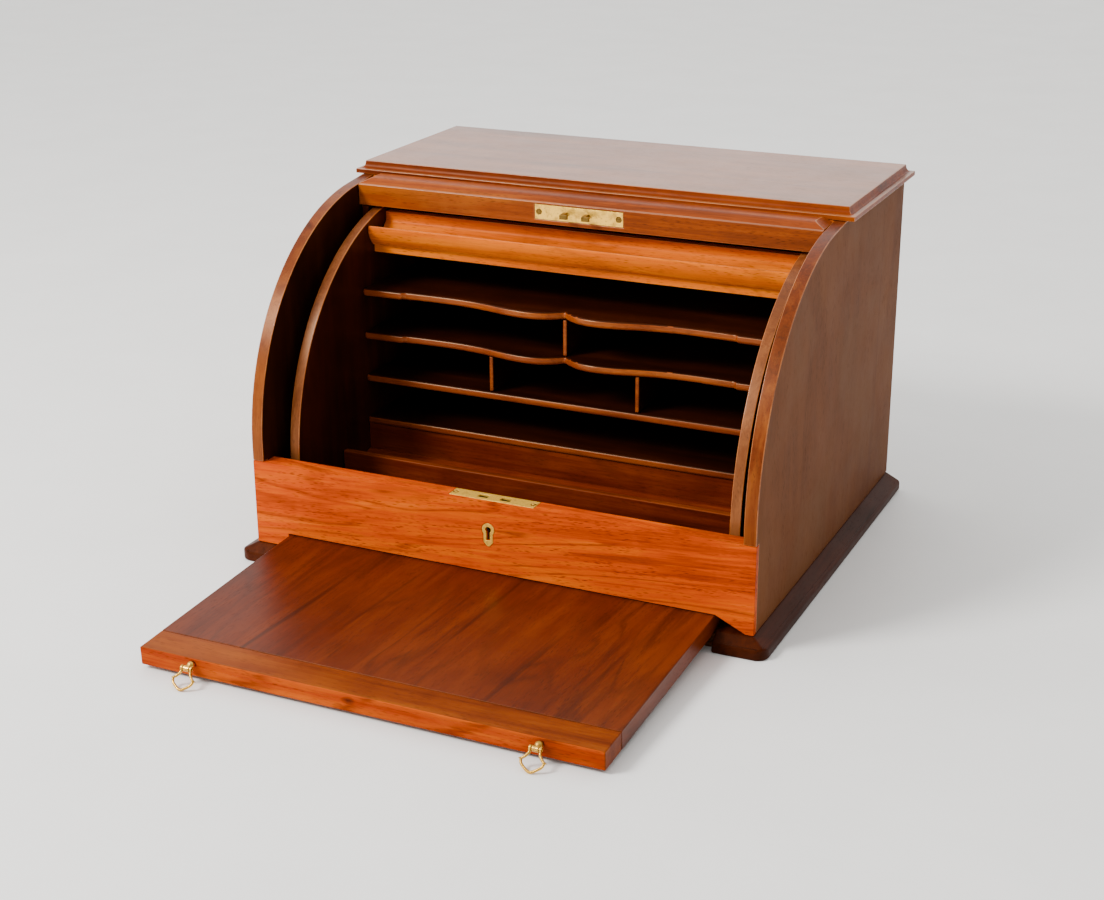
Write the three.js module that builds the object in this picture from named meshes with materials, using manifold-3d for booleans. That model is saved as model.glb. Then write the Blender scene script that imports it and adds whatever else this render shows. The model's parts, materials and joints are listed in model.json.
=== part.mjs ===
// Table-top roll-top stationery desk in mahogany, standing open with its writing slide drawn out.
// Millimetres, +Z up. The origin is the centre of the base's underside, and the front faces -Y.
// A rigid cylinder fall turns on two pins between the sides and the liners, so the body is as deep
// as two roll radii. The slide runs down towards the writer on two sloping runners.
import * as THREE from 'three';
import { mergeVertices } from 'three/addons/utils/BufferGeometryUtils.js';
import Module from 'manifold-3d';

const wasm = await Module();
wasm.setup();

// ---- driving dimensions -------------------------------------------------------------------------
const gap = 0.3;                 // clearance between pieces that touch

const bodyWidth = 404;           // over the two sides
const bodyDepth = 342;           // from the front rail's face to the back
const baseHeight = 14;
const baseProjection = 12;
const baseNose = 9;              // the base's reach in front of the rail
const baseCornerRadius = 9;
const baseBackWidth = 30;
const underPanelThickness = 4;
const sideThickness = 9.5;
const backThickness = 6;
const railHeight = 67;           // front rail, above the base
const railThickness = 14;
const railLap = 5;               // the rail's face runs over the ends of the sides

const slotWidth = 10;            // between side and liner, where the roll's quadrants turn
const linerThickness = 8;
const linerArcShift = { y: 23, z: -17.5 };   // centre of the liner's front curve from the roll's axis
const linerArcExtra = 18;                  // that curve's radius beyond the shell's inner radius
const linerTailHeight = 46;                // above the base, where the liner reaches the back

const shellThickness = 6;
const shellSetback = 11;         // from the sides' curved edge in to the shell's outer face
const shellBackClearance = 1;
const linerClearance = 1.2;      // between the shell and all that stands inside it
const rollSideClearance = 0.5;
const seatDrop = 10.2;           // the roll's seat lies this far below its axis when it is shut
const leadingRailDepth = 17;
const leadingRailHeight = 23.8;
const nosing = 4;                // the leading rail's raised field
const nosingBevel = 9;
const shellOverlap = 16;         // how far the shut roll runs under the top
const armThickness = 5.5;
const armHubRadius = 12;
const pinRadius = 3;
const pinLinerDepth = 5;
const pinSideDepth = 4.5;

const crownAngle = THREE.MathUtils.degToRad(6);   // the sides leave their curve this far from its top
const topThickness = 9.6;
const topLip = 3.6;
const topMoulding = 6;           // overhang of the top board's moulded edge
const topBackOverhang = 8;
const topFrontSetback = 7;       // the top's front edge behind the roll's axis
const topRailDepth = 14.5;

const slideSlope = THREE.MathUtils.degToRad(2.3);
const slideInset = 29;           // from the body's side to the slide's edge
const slideThickness = 13.6;
const slideTravel = 181;
const slideShutReach = 9.7;      // how far the shut slide stands out in front of the rail
const slideBackRoom = 55.7;      // behind the shut slide, inside the body
const lippingWidth = 26;
const notchHeight = 11;          // opening for the slide, cut up into the front rail
const notchSideClearance = 0.6;
const notchFlare = 22.5;         // the notch's right end slopes out and down to the base
const slideTopClearance = 0.4;
const guideWidth = 26;           // runners and kickers
const stopPegRadius = 3;
const stopPegSideInset = 53;     // from the slide's edge
const stopPegHeight = 3.6;
const stopPegDepth = 9;
const stopPegInset = 10;         // from the slide's back edge
const stopRailWidth = 11.5;
const floorClearance = 4.4;      // over the shut slide's back edge
const floorThickness = 4.5;

const fenceSetback = 85;         // from the front rail's face
const fenceThickness = 6;
const fenceHeight = 50;          // above the base
const trayHeight = 38;
const trayHollow = 4.5;
const interiorSetback = 126;     // front edges of the pigeonholes
const riserThickness = 5;
const riserSetback = 2;
const shelfThickness = 6.2;
const lowestShelfHeight = 66;    // above the base
const topBayHeight = 25;         // under the frieze
const interiorPanel = 5;
const interiorBackInset = 10.8;
const dividerThickness = 3.7;
const lowerDividerX = 61.5;
const friezeDrop = 5.3;          // frieze top below the space that the roll leaves
const friezeHeight = 28.7;
const friezeReach = 35;          // the frieze's ridge in front of the roll's axis
const friezeBack = 2;            // its back face behind the roll's axis

const selvedge = { halfLength: 34, front: 1.5, back: 13.7, thickness: 1.4 };
const strike = { halfLength: 36.5, front: 2, back: 13.4, thickness: 1.2 };
const hook = { x: 9, length: 9, depth: 3.4, stem: 3, barb: 3.2, barbHeight: 2.4 };
const hookHole = { left: 3.9, right: 4.1, depth: 5.2 };
const lockCase = { halfWidth: 29, height: 36, front: 3.4, topGap: 0.4 };
const boltTravel = 3.4;
const screwRadius = 1;
const screwHeadRadius = 2.1;
const keyX = -2;
const escutcheon = {
  radius: 5, waist: 3.8, waistBelow: 5.4, footBelow: 9.8, tipHalf: 1, below: 13, thickness: 0.9, height: 44.3,
};
const keyhole = { radius: 2.3, waist: 1.4, waistBelow: 2, footBelow: 8.2, tipHalf: 1.5, below: 8.3 };

const pull = { x: 129.5, below: 4, ballRadius: 3, pinReach: 7, pinRadius: 0.8, pinHalf: 4.9 };
const bail = { eyeX: 3.6, eyeThickness: 1.6, eyeRadius: 2.1, wire: 1, length: 14.9, halfWidth: 8 };

// ---- derived positions --------------------------------------------------------------------------
const frontY = -bodyDepth / 2;
const backY = bodyDepth / 2;
const innerX = bodyWidth / 2 - sideThickness;
const linerOuterX = innerX - slotWidth;
const linerInnerX = linerOuterX - linerThickness;
const shellOuter = (bodyDepth - backThickness - shellBackClearance - shellSetback) / 2;
const shellInner = shellOuter - shellThickness;
const rollRadius = shellOuter + shellSetback;
const insideRadius = shellInner - linerClearance;
const railTop = baseHeight + railHeight;
const axisY = frontY + rollRadius;
const axisZ = railTop + gap + seatDrop;
const sideTop = axisZ + rollRadius / Math.cos(crownAngle) + topFrontSetback * Math.tan(crownAngle);
const topFront = axisY + topFrontSetback;

const slideTopAtRail = baseHeight + notchHeight - slideTopClearance - railThickness * Math.tan(slideSlope);
const slideHalfWidth = bodyWidth / 2 - slideInset;
const stopPegX = slideHalfWidth - stopPegSideInset;
const slideReach = slideTravel + slideShutReach;
const slideBackReach = bodyDepth - slideBackRoom - slideTravel;
const slideRise = (y) => slideTopAtRail + (y - frontY) * Math.tan(slideSlope);
const slideUnder = (y) => slideRise(y) - slideThickness / Math.cos(slideSlope);
const floorUnder = slideTopAtRail + (slideBackReach + slideTravel) * Math.sin(slideSlope) + floorClearance;
const floorTop = floorUnder + floorThickness;

const interiorFront = frontY + interiorSetback;
const lowestShelfTop = baseHeight + lowestShelfHeight;
const friezeTop = axisZ + insideRadius - friezeDrop;
const interiorTopUnder = friezeTop - friezeHeight + 0.2;
const interiorTopOver = interiorTopUnder + interiorPanel;
const interiorBackFar = axisY - interiorBackInset
  + Math.sqrt(insideRadius ** 2 - (interiorTopOver - axisZ) ** 2);
const interiorBackFace = interiorBackFar - interiorPanel;
const highestShelfTop = interiorTopUnder - topBayHeight;
const shelfPitch = (highestShelfTop - lowestShelfTop) / 3;
const innerHalf = linerInnerX - gap;
const leadingRailTop = leadingRailHeight - seatDrop;

// The open roll's nosing stops just short of the top board's front edge.
const nosingReach = Math.hypot(leadingRailTop, rollRadius + nosing);
const openAngle = Math.PI / 2 - Math.atan2(leadingRailTop, rollRadius + nosing)
  + Math.asin((topFrontSetback - 0.43) / nosingReach);

// ---- materials ----------------------------------------------------------------------------------
function material(color, roughness, metalness) {
  return new THREE.MeshStandardMaterial({ color, roughness, metalness });
}

const mahogany = material(0x9a4413, 0.35, 0);
const darkMahogany = material(0x5c2a14, 0.4, 0);
const sideMahogany = material(0x6f4227, 0.35, 0);
const interiorMahogany = material(0x7a3510, 0.45, 0);
const brass = material(0xc8a24a, 0.3, 1);
const steel = material(0x8a8780, 0.45, 1);

// ---- shape helpers ------------------------------------------------------------------------------
const point = (a, b) => new THREE.Vector2(a, b);

function arc(centreA, centreB, radius, start, end, steps) {
  const points = [];
  for (let i = 0; i <= steps; i += 1) {
    const angle = start + (end - start) * i / steps;
    points.push(point(centreA + radius * Math.cos(angle), centreB + radius * Math.sin(angle)));
  }
  return points;
}

function extrude(outline, length, holes = []) {
  const shape = new THREE.Shape(outline);
  for (const hole of holes) shape.holes.push(new THREE.Path(hole));
  return new THREE.ExtrudeGeometry(shape, { depth: length, bevelEnabled: false, steps: 1 });
}

// An outline of (y, z) points carried from x0 to x1.
function alongX(outline, x0, x1) {
  const geometry = extrude(outline, x1 - x0);
  const turn = new THREE.Matrix4().makeBasis(
    new THREE.Vector3(0, 1, 0), new THREE.Vector3(0, 0, 1), new THREE.Vector3(1, 0, 0));
  return geometry.applyMatrix4(turn).translate(x0, 0, 0);
}

// An outline of (x, z) points carried from y0 to y1.
function alongY(outline, y0, y1) {
  const geometry = extrude(outline, y1 - y0);
  const turn = new THREE.Matrix4().makeBasis(
    new THREE.Vector3(1, 0, 0), new THREE.Vector3(0, 0, 1), new THREE.Vector3(0, -1, 0));
  return geometry.applyMatrix4(turn).translate(0, y1, 0);
}

// An outline of (x, y) points carried from z0 to z1.
function alongZ(outline, z0, z1) {
  return extrude(outline, z1 - z0).translate(0, 0, z0);
}

function block(x0, x1, y0, y1, z0, z1) {
  const geometry = new THREE.BoxGeometry(x1 - x0, y1 - y0, z1 - z0);
  return geometry.translate((x0 + x1) / 2, (y0 + y1) / 2, (z0 + z1) / 2);
}

function rodX(radius, x0, x1, y, z, sides = 24) {
  const geometry = new THREE.CylinderGeometry(radius, radius, x1 - x0, sides);
  return geometry.rotateZ(Math.PI / 2).translate((x0 + x1) / 2, y, z);
}

function rodY(radius, y0, y1, x, z, sides = 24) {
  const geometry = new THREE.CylinderGeometry(radius, radius, y1 - y0, sides);
  return geometry.translate(x, (y0 + y1) / 2, z);
}

function rodZ(radius, z0, z1, x, y, sides = 24) {
  const geometry = new THREE.CylinderGeometry(radius, radius, z1 - z0, sides);
  return geometry.rotateX(Math.PI / 2).translate(x, y, (z0 + z1) / 2);
}

function toSolid(geometry) {
  const bare = geometry.clone();
  bare.deleteAttribute('normal');
  bare.deleteAttribute('uv');
  const merged = mergeVertices(bare, 1e-4);
  return new wasm.Manifold(new wasm.Mesh({
    numProp: 3,
    vertProperties: new Float32Array(merged.attributes.position.array),
    triVerts: new Uint32Array(merged.index.array),
  }));
}

function fromSolid(solid) {
  const mesh = solid.getMesh();
  const geometry = new THREE.BufferGeometry();
  geometry.setAttribute('position', new THREE.BufferAttribute(mesh.vertProperties, 3));
  geometry.setIndex(new THREE.BufferAttribute(mesh.triVerts, 1));
  geometry.computeVertexNormals();
  return geometry;
}

function cut(base, ...tools) {
  return fromSolid(tools.reduce((left, tool) => left.subtract(toSolid(tool)), toSolid(base)));
}

function join(base, ...others) {
  return fromSolid(others.reduce((sum, other) => sum.add(toSolid(other)), toSolid(base)));
}

function overlap(base, ...others) {
  return fromSolid(others.reduce((common, other) => common.intersect(toSolid(other)), toSolid(base)));
}

function mirrored(geometry) {
  return fromSolid(toSolid(geometry).mirror([1, 0, 0]));
}

const desk = new THREE.Group();

function add(name, geometry, finish, parent = desk) {
  const mesh = new THREE.Mesh(geometry, finish);
  mesh.name = name;
  parent.add(mesh);
  return mesh;
}

// A right-hand piece and its mirror image.
function addPair(name, rightGeometry, finish, parent = desk) {
  add(`${name}_right`, rightGeometry, finish, parent);
  add(`${name}_left`, mirrored(rightGeometry), finish, parent);
}

// ---- base ---------------------------------------------------------------------------------------
function baseMember() {
  const outer = bodyWidth / 2 + baseProjection;
  const nose = frontY - baseNose;
  // The top slopes away from the body's face to a low square edge.
  const slope = (face, edge) => [
    [face, baseHeight], [face + (edge - face) * 0.9, baseHeight * 0.6], [edge, baseHeight * 0.5], [edge, 0],
  ];
  const section = slope(bodyWidth / 2, outer).map(([x, z]) => point(x, z));
  const sideBar = alongY([...section, point(linerInnerX, 0), point(linerInnerX, baseHeight)], nose, backY);
  const nosePoints = slope(frontY, nose).map(([y, z]) => point(y, z));
  const frontBar = alongX([...nosePoints, point(backY, 0), point(backY, baseHeight)], linerInnerX, outer);
  const corner = arc(outer - baseCornerRadius, nose + baseCornerRadius, baseCornerRadius, -Math.PI / 2, 0, 8);
  const plan = [...corner, point(outer, backY), point(linerInnerX, backY), point(linerInnerX, nose)];
  return overlap(sideBar, frontBar, alongZ(plan, -1, baseHeight + 1));
}

function makeBase() {
  addPair('base', baseMember(), darkMahogany);
  const backFront = backY - baseBackWidth;
  add('base_back', block(-innerHalf, innerHalf, backFront, backY, 0, baseHeight), darkMahogany);
  const panel = block(-innerHalf, innerHalf, frontY, backFront - gap, 0, underPanelThickness);
  add('under_panel', panel, interiorMahogany);
}

// ---- sides, back, front rail and top ------------------------------------------------------------
function side() {
  const foot = baseHeight + gap;
  const lapBack = frontY + railLap + gap;
  const outline = [
    point(lapBack, foot), point(backY, foot), point(backY, sideTop), point(topFront, sideTop),
    ...arc(axisY, axisZ, rollRadius, Math.PI / 2 + crownAngle, Math.PI, 32),
    point(frontY, railTop + gap), point(lapBack, railTop + gap),
  ];
  const board = alongX(outline, innerX, bodyWidth / 2);
  return cut(board, rodX(pinRadius + gap, innerX - 1, innerX + pinSideDepth + gap, axisY, axisZ));
}

// A round head over a waisted foot, as a keyhole or as the brass thread let in round it.
function keyholeOutline(size, grow = 0) {
  const radius = size.radius + grow;
  const waist = size.waist + grow;
  const z = keyholeZ;
  const shoulder = Math.asin(waist / radius);
  const head = arc(keyX, z, radius, -Math.PI / 2 + shoulder, Math.PI * 1.5 - shoulder, 24);
  const tip = size.tipHalf + grow;
  const foot = [
    [-waist, size.waistBelow], [-waist, size.footBelow], [-tip, size.below + grow],
    [tip, size.below + grow], [waist, size.footBelow], [waist, size.waistBelow],
  ];
  return [...head, ...foot.map(([x, below]) => point(keyX + x, z - below))];
}

const keyholeZ = baseHeight + escutcheon.height;

function frontRail() {
  const foot = baseHeight + gap;
  const face = block(-bodyWidth / 2, bodyWidth / 2, frontY, frontY + railLap, foot, railTop);
  const core = block(-innerX + gap, innerX - gap, frontY, frontY + railThickness, foot, railTop);
  const half = slideHalfWidth + notchSideClearance;
  const flare = half + notchFlare;
  const notchTop = baseHeight + notchHeight;
  const notch = alongY([
    point(-half, 0), point(flare, 0), point(flare, foot), point(half, notchTop), point(-half, notchTop),
  ], frontY - 1, frontY + railThickness + 1);
  const plateBed = block(-selvedge.halfLength - gap, selvedge.halfLength + gap,
    frontY + selvedge.front - gap, frontY + railThickness + 1,
    railTop - selvedge.thickness - gap, railTop + 1);
  const caseTop = railTop - selvedge.thickness - lockCase.topGap;
  const caseBed = block(-lockCase.halfWidth - gap, lockCase.halfWidth + gap,
    frontY + lockCase.front - gap, frontY + railThickness + 1, caseTop - lockCase.height - gap, caseTop + 1);
  const inlayBed = alongY(keyholeOutline(escutcheon, gap), frontY - 1, frontY + escutcheon.thickness + gap);
  const slot = alongY(keyholeOutline(keyhole), frontY - 1, frontY + railThickness);
  const screwBeds = [-1, 1].map((sign) => rodZ(screwRadius + gap, railTop - 12, railTop + 1,
    sign * (selvedge.halfLength - 2.6), frontY + (selvedge.front + selvedge.back) / 2));
  return cut(join(face, core), notch, plateBed, caseBed, inlayBed, slot, ...screwBeds);
}

// Rectangles stacked from the bottom up, each inset from the lip by its own amount.
function mouldedBoard(x, y0, y1, z, levels) {
  const vertices = [];
  const triangles = [];
  for (const [inset, height] of levels) {
    vertices.push(-x + inset, y0 + inset, z + height, x - inset, y0 + inset, z + height);
    vertices.push(x - inset, y1 - inset, z + height, -x + inset, y1 - inset, z + height);
  }
  for (let level = 0; level < levels.length - 1; level += 1) {
    for (let corner = 0; corner < 4; corner += 1) {
      const a = level * 4 + corner;
      const b = level * 4 + (corner + 1) % 4;
      triangles.push(a, b, b + 4, a, b + 4, a + 4);
    }
  }
  const last = (levels.length - 1) * 4;
  triangles.push(0, 2, 1, 0, 3, 2, last, last + 1, last + 2, last, last + 2, last + 3);
  const geometry = new THREE.BufferGeometry();
  geometry.setAttribute('position', new THREE.Float32BufferAttribute(vertices, 3));
  geometry.setIndex(triangles);
  geometry.computeVertexNormals();
  return geometry;
}

function makeCase() {
  addPair('side', side(), sideMahogany);
  add('back_panel', block(-innerX + gap, innerX - gap, backY - backThickness, backY,
    baseHeight + gap, sideTop - gap), darkMahogany);
  add('front_rail', frontRail(), mahogany);
  // A square lip with a cove above it.
  const rise = topThickness - topLip;
  const levels = [[0, 0], [0, topLip], [topMoulding * 0.5, topLip + rise * 0.05],
    [topMoulding * 0.72, topLip + rise * 0.16], [topMoulding * 0.87, topLip + rise * 0.36],
    [topMoulding * 0.96, topLip + rise * 0.64], [topMoulding, topThickness]];
  const topBoard = mouldedBoard(bodyWidth / 2 + topMoulding, topFront, backY + topBackOverhang,
    sideTop + gap, levels);
  add('top_board', topBoard, mahogany);
  const railUnder = axisZ + shellOuter + linerClearance;
  add('top_rail', block(-innerX + gap, innerX - gap, topFront + 0.5, topFront + 0.5 + topRailDepth,
    railUnder, sideTop - gap), mahogany);
}

// ---- liners -------------------------------------------------------------------------------------
function liner() {
  const foot = baseHeight + gap;
  const arcY = axisY + linerArcShift.y;
  const arcZ = axisZ + linerArcShift.z;
  const radius = shellInner + linerArcExtra;
  const tailTop = baseHeight + linerTailHeight;
  const backEdge = backY - backThickness - gap;
  // Front edge on its own flatter curve, trimmed to the space inside the roll.
  const front = [
    point(arcY + radius, foot),
    ...arc(arcY, arcZ, radius, Math.PI / 2, Math.PI, 40),
    point(arcY - radius, foot),
  ];
  const inside = [
    point(axisY - insideRadius, foot), point(axisY + insideRadius, foot),
    ...arc(axisY, axisZ, insideRadius, 0, Math.PI, 72),
  ];
  const panel = overlap(alongX(front, linerInnerX, linerOuterX), alongX(inside, linerInnerX, linerOuterX));
  const tail = block(linerInnerX, linerOuterX, axisY, backEdge, foot, tailTop);
  const board = join(panel, tail);
  const hole = rodX(pinRadius + gap, linerOuterX - pinLinerDepth - gap, linerOuterX + 1, axisY, axisZ);
  return cut(board, hole);
}

// ---- roll: shell, leading rail, quadrants and strike plate, drawn shut about their axis ----------
const roll = new THREE.Group();
roll.position.set(0, axisY, axisZ);
roll.rotation.x = -openAngle;
desk.add(roll);

const rollHalf = innerX - rollSideClearance;

// A point at an angle up from the front, as (y, z) from the axis.
const around = (radius, angle) => point(-radius * Math.cos(angle), radius * Math.sin(angle));

function sweep(radius, start, end, steps) {
  return Array.from({ length: steps + 1 }, (_, i) => around(radius, start + (end - start) * i / steps));
}

const shellEnd = Math.PI / 2 + Math.asin(shellOverlap / shellOuter);

function leadingRail() {
  const raised = rollRadius + nosing;
  const lift = (z, radius) => point(-Math.sqrt(radius ** 2 - z ** 2), z);
  const outline = [
    point(-rollRadius + leadingRailDepth, -seatDrop), lift(-seatDrop, rollRadius),
    lift(-seatDrop + 1.6, rollRadius), lift(-seatDrop + 4, rollRadius + nosing * 0.3),
    lift(-seatDrop + 7, rollRadius + nosing * 0.75), lift(-seatDrop + 10, raised),
    lift(leadingRailTop / 2, raised), lift(leadingRailTop, raised),
    point(-rollRadius + leadingRailDepth, leadingRailTop),
  ];
  const bar = alongX(outline, -rollHalf, rollHalf);
  const bevel = (sign) => alongZ([
    point(sign * (rollHalf - nosingBevel), -raised - 0.01), point(sign * (rollHalf + 1), -rollRadius + 0.3),
    point(sign * (rollHalf + 1), -raised - 5), point(sign * (rollHalf - nosingBevel), -raised - 5),
  ], -seatDrop - 1, leadingRailTop + 1);
  const front = -rollRadius + strike.front;
  const back = -rollRadius + strike.back;
  const bed = block(-strike.halfLength - gap, strike.halfLength + gap, front - gap, back + gap,
    -seatDrop - 1, -seatDrop + strike.thickness + gap);
  const screwBeds = [-1, 1].map((sign) => rodZ(screwRadius + gap, -seatDrop - 1, -seatDrop + 10,
    sign * (strike.halfLength - 3.4), (front + back) / 2));
  return cut(bar, bevel(1), bevel(-1), bed, ...screwBeds);
}

function shell() {
  const start = Math.asin((leadingRailTop + gap) / shellInner);
  const outline = [...sweep(shellOuter, start, shellEnd, 44), ...sweep(shellInner, shellEnd, start, 44)];
  return alongX(outline, -rollHalf, rollHalf);
}

function quadrant() {
  const rim = shellInner - gap;
  const low = -Math.asin((seatDrop - 0.7) / rim);
  const high = shellEnd - 0.01;
  const face = linerOuterX + (slotWidth - armThickness) / 2;
  const outline = [point(0, -seatDrop + 0.7), ...sweep(rim, low, high, 44), point(4, 0)];
  const board = alongX(outline, face, face + armThickness);
  const hub = rodX(armHubRadius, face, face + armThickness, 0, 0, 32);
  const bore = rodX(pinRadius + gap, face - 1, face + armThickness + 1, 0, 0);
  return cut(join(board, hub), bore);
}

function strikePlate() {
  const front = -rollRadius + strike.front;
  const back = -rollRadius + strike.back;
  const middle = (selvedge.front + selvedge.back) / 2 - rollRadius;
  const plate = block(-strike.halfLength, strike.halfLength, front, back,
    -seatDrop, -seatDrop + strike.thickness);
  const hooks = [-hook.x, hook.x].flatMap((x) => [
    block(x - hook.stem, x, middle - hook.depth / 2, middle + hook.depth / 2,
      -seatDrop - hook.length, -seatDrop + 0.2),
    block(x - 0.5, x + hook.barb, middle - hook.depth / 2, middle + hook.depth / 2,
      -seatDrop - hook.length, -seatDrop - hook.length + hook.barbHeight),
  ]);
  const holes = [-1, 1].map((sign) => rodZ(screwHeadRadius + gap, -seatDrop - 1, -seatDrop + 3,
    sign * (strike.halfLength - 3.4), (front + back) / 2));
  return fromSolid(toSolid(join(plate, ...hooks)).subtract(toSolid(holes[0])).subtract(toSolid(holes[1])));
}

// A slotted screw whose head faces down (-1) or up (+1) at height z.
function screw(x, y, z, up, length) {
  const head = rodZ(screwHeadRadius, Math.min(z, z - up), Math.max(z, z - up), x, y);
  const tip = z - up * length;
  const neck = z - up * 0.5;
  const shank = rodZ(screwRadius, Math.min(neck, tip), Math.max(neck, tip), x, y);
  const slot = block(x - screwHeadRadius - 1, x + screwHeadRadius + 1, y - 0.3, y + 0.3,
    z - 0.35, z + 0.35);
  return cut(join(head, shank), slot);
}

function makeRoll() {
  add('leading_rail', leadingRail(), mahogany, roll);
  add('roll_shell', shell(), mahogany, roll);
  addPair('arm', quadrant(), interiorMahogany, roll);
  add('strike_plate', strikePlate(), brass, roll);
  const middle = -rollRadius + (strike.front + strike.back) / 2;
  addPair('strike_screw', screw(strike.halfLength - 3.4, middle, -seatDrop, -1, 8), brass, roll);
  const pin = rodX(pinRadius, linerOuterX - pinLinerDepth, innerX + pinSideDepth, axisY, axisZ);
  addPair('pivot_pin', pin, steel);
}

// ---- lock in the front rail ---------------------------------------------------------------------
function makeLock() {
  const plateTop = railTop;
  const plateUnder = railTop - selvedge.thickness;
  const middle = frontY + (selvedge.front + selvedge.back) / 2;
  const plate = block(-selvedge.halfLength, selvedge.halfLength,
    frontY + selvedge.front, frontY + selvedge.back, plateUnder, plateTop);
  const holes = [-hook.x, hook.x].map((x) => block(x - hookHole.left, x + hookHole.right,
    middle - hookHole.depth / 2, middle + hookHole.depth / 2, plateUnder - 1, plateTop + 1));
  const screwX = selvedge.halfLength - 2.6;
  const screwHoles = [-screwX, screwX].map((x) => rodZ(screwHeadRadius + gap,
    plateUnder - 1, plateTop + 1, x, middle));
  add('lock_selvedge', cut(plate, ...holes, ...screwHoles), brass);
  addPair('selvedge_screw', screw(screwX, middle, plateTop, 1, 8), brass);

  // The case's upper chamber holds the bolt on a ledge behind the hooks; the lower one takes their tips.
  const caseTop = plateUnder - lockCase.topGap;
  const caseFront = frontY + lockCase.front;
  const caseBack = frontY + railThickness - 0.2;
  const hollowFront = caseFront + 1.2;
  const hollowBack = caseBack - 1.2;
  const ledge = middle + hook.depth / 2 + 0.9;
  const boltUnder = railTop - 5.7;
  const body = block(-lockCase.halfWidth, lockCase.halfWidth, caseFront, caseBack,
    caseTop - lockCase.height, caseTop);
  const upper = block(-26, 26, hollowFront, hollowBack, boltUnder - gap, caseTop + 1);
  const lower = block(-22, 22, hollowFront, ledge, railTop - 15, caseTop + 1);
  const keyWay = alongY(keyholeOutline(keyhole), caseFront - 1, hollowFront + 1);
  const keyRoom = block(keyX - 5, keyX + 5, hollowFront, ledge, keyholeZ - keyhole.below - 1, railTop - 14);
  add('lock_case', cut(body, upper, lower, keyRoom, keyWay), steel);

  const boltTop = boltUnder + 2.4;
  const spine = block(-20, 21, ledge + 0.4, hollowBack - 0.4, boltUnder, boltTop);
  const teeth = [-hook.x, hook.x].map((x) => block(x + hook.barb + 0.6, x + hook.barb + 5,
    middle - 1.4, ledge + 0.6, boltUnder, boltTop));
  add('lock_bolt', join(spine, ...teeth), brass);

  const inlay = alongY(keyholeOutline(escutcheon), frontY, frontY + escutcheon.thickness);
  add('escutcheon', cut(inlay, alongY(keyholeOutline(keyhole), frontY - 1, frontY + 3)), brass);
}

// ---- slide, with its runners, kickers and stops -------------------------------------------------
const slide = new THREE.Group();
slide.position.set(0, frontY, slideTopAtRail);
slide.rotation.x = slideSlope;
desk.add(slide);

const pegY = slideBackReach - stopPegInset;

function makeSlide() {
  const joint = -slideReach + lippingWidth;
  const panel = block(-slideHalfWidth, slideHalfWidth, joint, slideBackReach, -slideThickness, 0);
  const holes = [-stopPegX, stopPegX].map((x) => rodZ(stopPegRadius + gap,
    -stopPegDepth - gap, 1, x, pegY));
  add('slide_panel', cut(panel, ...holes), mahogany, slide);
  const lipping = block(-slideHalfWidth, slideHalfWidth, -slideReach, joint - gap, -slideThickness, 0);
  const shankHoles = [-pull.x, pull.x].map((x) => rodY(1.5 + gap,
    -slideReach - 1, -slideReach + 9, x, -pull.below));
  add('slide_lipping', cut(lipping, ...shankHoles), mahogany, slide);
  const peg = rodZ(stopPegRadius, -stopPegDepth, stopPegHeight, stopPegX, pegY);
  addPair('slide_stop', peg, interiorMahogany, slide);
}

function makeGuides() {
  const outer = innerHalf;
  const inner = outer - guideWidth;
  const kickerFront = frontY + railThickness + gap;
  const kickerBack = backY - backThickness - gap;
  const kicker = alongX([
    point(kickerFront, slideRise(kickerFront) + gap), point(kickerBack, slideRise(kickerBack) + gap),
    point(kickerBack, floorUnder - gap), point(kickerFront, floorUnder - gap),
  ], inner, outer);
  addPair('kicker', kicker, interiorMahogany);
  const runnerFront = frontY + gap;
  const runnerBack = backY - baseBackWidth - 2 * gap;
  const bed = underPanelThickness + gap;
  const runner = alongX([
    point(runnerFront, bed), point(runnerBack, bed),
    point(runnerBack, slideUnder(runnerBack) - gap), point(runnerFront, slideUnder(runnerFront) - gap),
  ], inner, outer);
  addPair('runner', runner, interiorMahogany);
  const stopBack = frontY + (pegY - stopPegRadius) * Math.cos(slideSlope) - 2 * gap;
  const stopFront = stopBack - stopRailWidth;
  const stop = block(-inner + gap, inner - gap, stopFront, stopBack,
    slideRise(stopBack) + 0.8, floorUnder - gap);
  add('stop_rail', stop, interiorMahogany);
}

// ---- brass bail pulls ---------------------------------------------------------------------------
const pinHeight = slideTopAtRail - slideReach * Math.sin(slideSlope) - pull.below * Math.cos(slideSlope)
  - pull.pinReach * Math.sin(slideSlope);
const bailLean = Math.acos((pinHeight - bail.wire) / bail.length);   // its foot rests at z = 0

function pullStud(x) {
  const face = -slideReach;
  const z = -pull.below;
  const ball = new THREE.SphereGeometry(pull.ballRadius, 16, 12)
    .rotateX(Math.PI / 2).translate(x, face - 2.6, z);
  const shank = rodY(1.5, face - 2, face + 8, x, z, 16);
  const neck = rodY(1.5, face - pull.pinReach, face - 3, x, z, 16);
  const lug = rodX(2.1, x - 2.2, x + 2.2, face - pull.pinReach, z, 20);
  const pin = rodX(pull.pinRadius, x - pull.pinHalf, x + pull.pinHalf, face - pull.pinReach, z, 12);
  return join(ball, shank, neck, lug, pin);
}

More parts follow.
